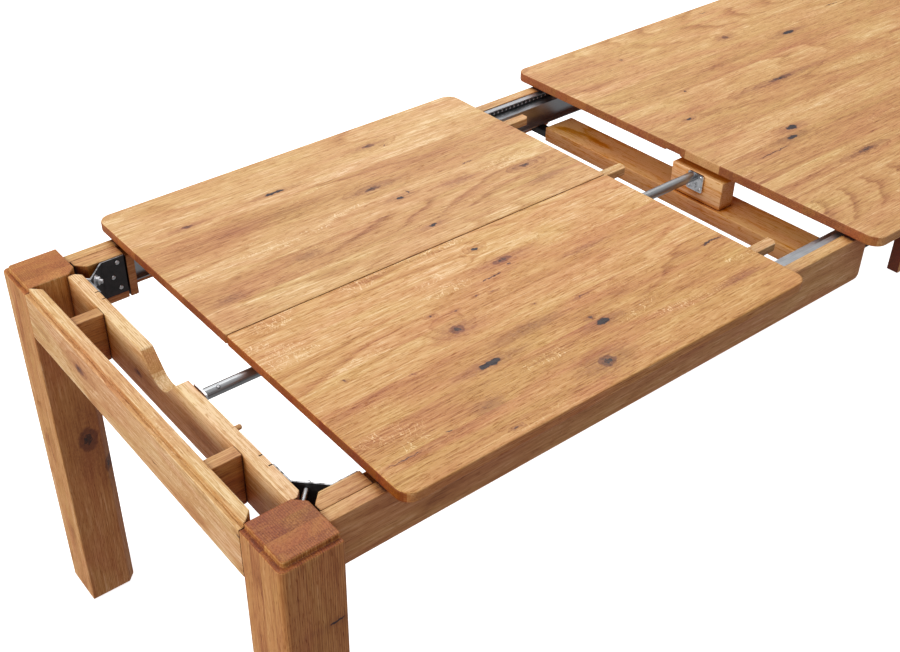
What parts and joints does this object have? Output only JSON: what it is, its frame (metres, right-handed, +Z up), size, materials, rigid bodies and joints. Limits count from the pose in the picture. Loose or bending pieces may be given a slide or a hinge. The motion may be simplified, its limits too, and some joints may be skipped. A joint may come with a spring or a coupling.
{
  "type": "extendable dining table",
  "caption": "Solid oak dining table pulled out on telescopic slides, with a folding leaf on a steel tube laid across the gap.",
  "frame": {"origin": "on the floor under the middle of the table as pulled out", "axes": "+X along the table from the pull-out end to the fixed top, +Z up, -Y the near side"},
  "size_m": [2.793, 0.9, 0.7755],
  "materials": {
    "oiled_oak": "oiled, satin, knotty oak",
    "oak_frame": "oiled, satin oak",
    "oak_legs": "oiled, satin oak",
    "satin_steel": "zinc plated, satin",
    "bright_flange": "bright",
    "black_steel": "black powder coat",
    "black_plastic": "matt"
  },
  "bodies": {
    "main_table": {"main_top": "oiled_oak", "main_end_apron": "oak_frame", "main_side_apron_near": "oak_frame", "main_side_apron_far": "oak_frame", "main_slide_rail_near": "oak_frame", "main_slide_rail_far": "oak_frame", "main_leg_near": "oak_legs", "main_leg_far": "oak_legs", "inner_slide_near": "satin_steel", "inner_slide_far": "satin_steel", "main_hanger_bolt_near": "satin_steel", "main_hanger_bolt_far": "satin_steel", "main_bolt_nut_near": "satin_steel", "main_bolt_nut_far": "satin_steel", "main_corner_bracket_near": "black_steel", "main_corner_bracket_far": "black_steel"},
    "middle_slide_near_body": {"middle_slide_near": "satin_steel"},
    "middle_slide_far_body": {"middle_slide_far": "satin_steel"},
    "ball_cage_near_body": {"ball_cage_near": "black_plastic"},
    "ball_cage_far_body": {"ball_cage_far": "black_plastic"},
    "leaf_near": {"leaf_near_half": "oiled_oak", "leaf_batten_near": "oak_frame", "leaf_bearing_left": "black_plastic", "leaf_bearing_right": "black_plastic", "seam_hinge_left_near_half": "satin_steel", "seam_hinge_right_near_half": "satin_steel"},
    "leaf_far": {"leaf_far_half": "oiled_oak", "leaf_batten_center": "oak_frame", "leaf_batten_far": "oak_frame", "seam_hinge_left_far_half": "satin_steel", "seam_hinge_right_far_half": "satin_steel"},
    "pullout_frame": {"pullout_end_apron": "oak_frame", "pullout_cross_board": "oak_frame", "pullout_spacer_near": "oak_frame", "pullout_spacer_far": "oak_frame", "pullout_side_board_near": "oak_frame", "pullout_side_board_far": "oak_frame", "pullout_corner_board_near": "oak_frame", "pullout_corner_board_far": "oak_frame", "pullout_stop_block_near": "oak_frame", "pullout_stop_block_far": "oak_frame", "cross_beam": "oak_frame", "tube_block": "oak_frame", "pullout_leg_near": "oak_legs", "pullout_leg_far": "oak_legs", "outer_slide_near": "satin_steel", "outer_slide_far": "satin_steel", "pivot_tube": "satin_steel", "pullout_hanger_bolt_near": "satin_steel", "pullout_hanger_bolt_far": "satin_steel", "pullout_bolt_nut_near": "satin_steel", "pullout_bolt_nut_far": "satin_steel", "tube_flange_left": "bright_flange", "tube_flange_right": "bright_flange", "pullout_corner_bracket_near": "black_steel", "pullout_corner_bracket_far": "black_steel", "beam_end_block_near": "black_plastic", "beam_end_block_far": "black_plastic"}
  },
  "joints": [
    {"name": "frame_pullout", "type": "slide", "parent": "main_table", "child": "pullout_frame", "axis": [1, 0, 0], "range_m": [0, 0.3831]},
    {"name": "middle_slide_near", "type": "slide", "parent": "main_table", "child": "middle_slide_near_body", "axis": [1, 0, 0], "range_m": [0, 0.19155]},
    {"name": "middle_slide_far", "type": "slide", "parent": "main_table", "child": "middle_slide_far_body", "axis": [1, 0, 0], "range_m": [0, 0.19155]},
    {"name": "ball_cage_near", "type": "slide", "parent": "main_table", "child": "ball_cage_near_body", "axis": [1, 0, 0], "range_m": [0, 0.28732]},
    {"name": "ball_cage_far", "type": "slide", "parent": "main_table", "child": "ball_cage_far_body", "axis": [1, 0, 0], "range_m": [0, 0.28732]},
    {"name": "leaf_shift", "type": "slide", "parent": "pullout_frame", "child": "leaf_near", "axis": [-1, 0, 0], "range_m": [0, 0.1975]},
    {"name": "leaf_fold", "type": "hinge", "parent": "leaf_near", "child": "leaf_far", "pos_m": [-1.2085, 0, 0.7759], "axis": [1, 0, 0], "range_deg": [0, 180]}
  ],
  "couplings": [
    {"joint": "middle_slide_near", "follows": "frame_pullout", "ratio": 0.5},
    {"joint": "middle_slide_far", "follows": "frame_pullout", "ratio": 0.5},
    {"joint": "ball_cage_near", "follows": "frame_pullout", "ratio": 0.75},
    {"joint": "ball_cage_far", "follows": "frame_pullout", "ratio": 0.75},
    {"joint": "leaf_shift", "follows": "frame_pullout", "ratio": 0.5155}
  ]
}
